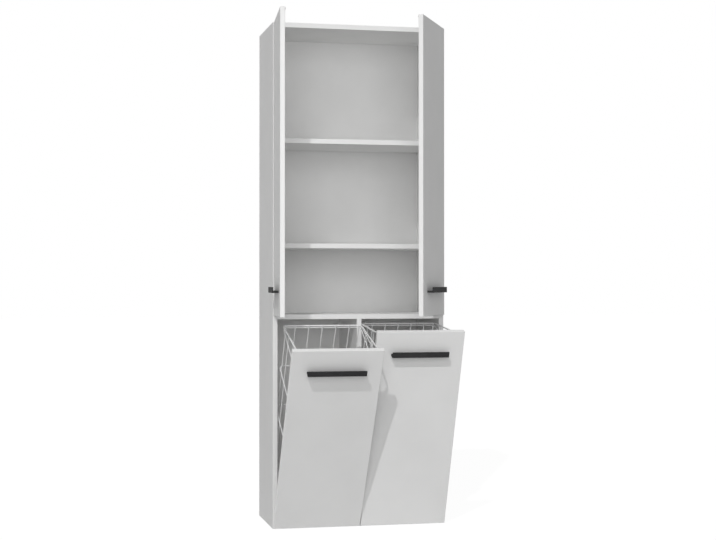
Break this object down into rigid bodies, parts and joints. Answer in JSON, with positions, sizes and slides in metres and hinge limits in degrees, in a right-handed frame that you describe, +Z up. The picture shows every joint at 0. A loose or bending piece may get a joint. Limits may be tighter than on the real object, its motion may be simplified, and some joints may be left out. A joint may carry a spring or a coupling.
{
  "type": "bathroom cabinet",
  "caption": "Tall white bathroom cabinet: hinged doors above open shelves, tilt-out fronts below that carry wire laundry baskets, and black angle handles.",
  "frame": {"origin": "on the floor, under the middle of the carcass", "axes": "+X to the right, +Y towards the wall, +Z up"},
  "size_m": [0.6438, 0.6783, 1.755],
  "materials": {
    "melamine": "satin",
    "hardboard": "satin",
    "white_wire": "gloss",
    "black_bar": "satin",
    "hinge_steel": "satin",
    "fitting_zinc": "satin",
    "dowel_wood": "matte",
    "white_plastic": "satin",
    "pad": "satin"
  },
  "bodies": {
    "carcass": {"side_left": "melamine", "side_right": "melamine", "top_panel": "melamine", "bottom_panel": "melamine", "middle_shelf": "melamine", "partition": "melamine", "back_panel": "hardboard", "lower_shelf": "melamine", "upper_shelf": "melamine", "shelf_pins": "fitting_zinc", "cam_locks": "fitting_zinc", "cam_bolts": "fitting_zinc", "partition_dowels": "dowel_wood", "wall_brackets": "hinge_steel", "bracket_screws": "fitting_zinc", "left_door_hinge_arms": "hinge_steel", "left_door_hinge_plates": "hinge_steel", "right_door_hinge_arms": "hinge_steel", "right_door_hinge_plates": "hinge_steel", "left_hamper_hinge_arms": "hinge_steel", "left_hamper_hinge_plates": "hinge_steel", "right_hamper_hinge_arms": "hinge_steel", "right_hamper_hinge_plates": "hinge_steel"},
    "left_door": {"left_door_panel": "melamine", "left_door_handle": "black_bar", "left_door_handle_screws": "fitting_zinc", "left_door_hinge_cups": "hinge_steel", "left_door_hinge_pins": "hinge_steel", "left_door_bumpers": "pad"},
    "right_door": {"right_door_panel": "melamine", "right_door_handle": "black_bar", "right_door_handle_screws": "fitting_zinc", "right_door_hinge_cups": "hinge_steel", "right_door_hinge_pins": "hinge_steel", "right_door_bumpers": "pad"},
    "left_hamper": {"left_hamper_front": "melamine", "left_hamper_handle": "black_bar", "left_hamper_handle_screws": "fitting_zinc", "left_hamper_hinge_cups": "hinge_steel", "left_hamper_hinge_pins": "hinge_steel", "left_hamper_bumpers": "pad", "left_hamper_basket_rim": "white_wire", "left_hamper_basket_hoops": "white_wire", "left_hamper_basket_uprights": "white_wire", "left_hamper_basket_clips": "white_plastic"},
    "right_hamper": {"right_hamper_front": "melamine", "right_hamper_handle": "black_bar", "right_hamper_handle_screws": "fitting_zinc", "right_hamper_hinge_cups": "hinge_steel", "right_hamper_hinge_pins": "hinge_steel", "right_hamper_bumpers": "pad", "right_hamper_basket_rim": "white_wire", "right_hamper_basket_hoops": "white_wire", "right_hamper_basket_uprights": "white_wire", "right_hamper_basket_clips": "white_plastic"}
  },
  "joints": [
    {"name": "left_door_swing", "type": "hinge", "parent": "carcass", "child": "left_door", "pos_m": [-0.292, -0.162, 1.22], "axis": [0, 0, -1], "range_deg": [-95.5, 4.5]},
    {"name": "right_door_swing", "type": "hinge", "parent": "carcass", "child": "right_door", "pos_m": [0.292, -0.162, 1.22], "axis": [0, 0, 1], "range_deg": [-60.7, 39.3]},
    {"name": "left_hamper_tilt", "type": "hinge", "parent": "carcass", "child": "left_hamper", "pos_m": [-0.146, -0.162, 0.011], "axis": [1, 0, 0], "range_deg": [-30.6, 0]},
    {"name": "right_hamper_tilt", "type": "hinge", "parent": "carcass", "child": "right_hamper", "pos_m": [0.146, -0.162, 0.011], "axis": [1, 0, 0], "range_deg": [-20.5, 10.1]}
  ]
}
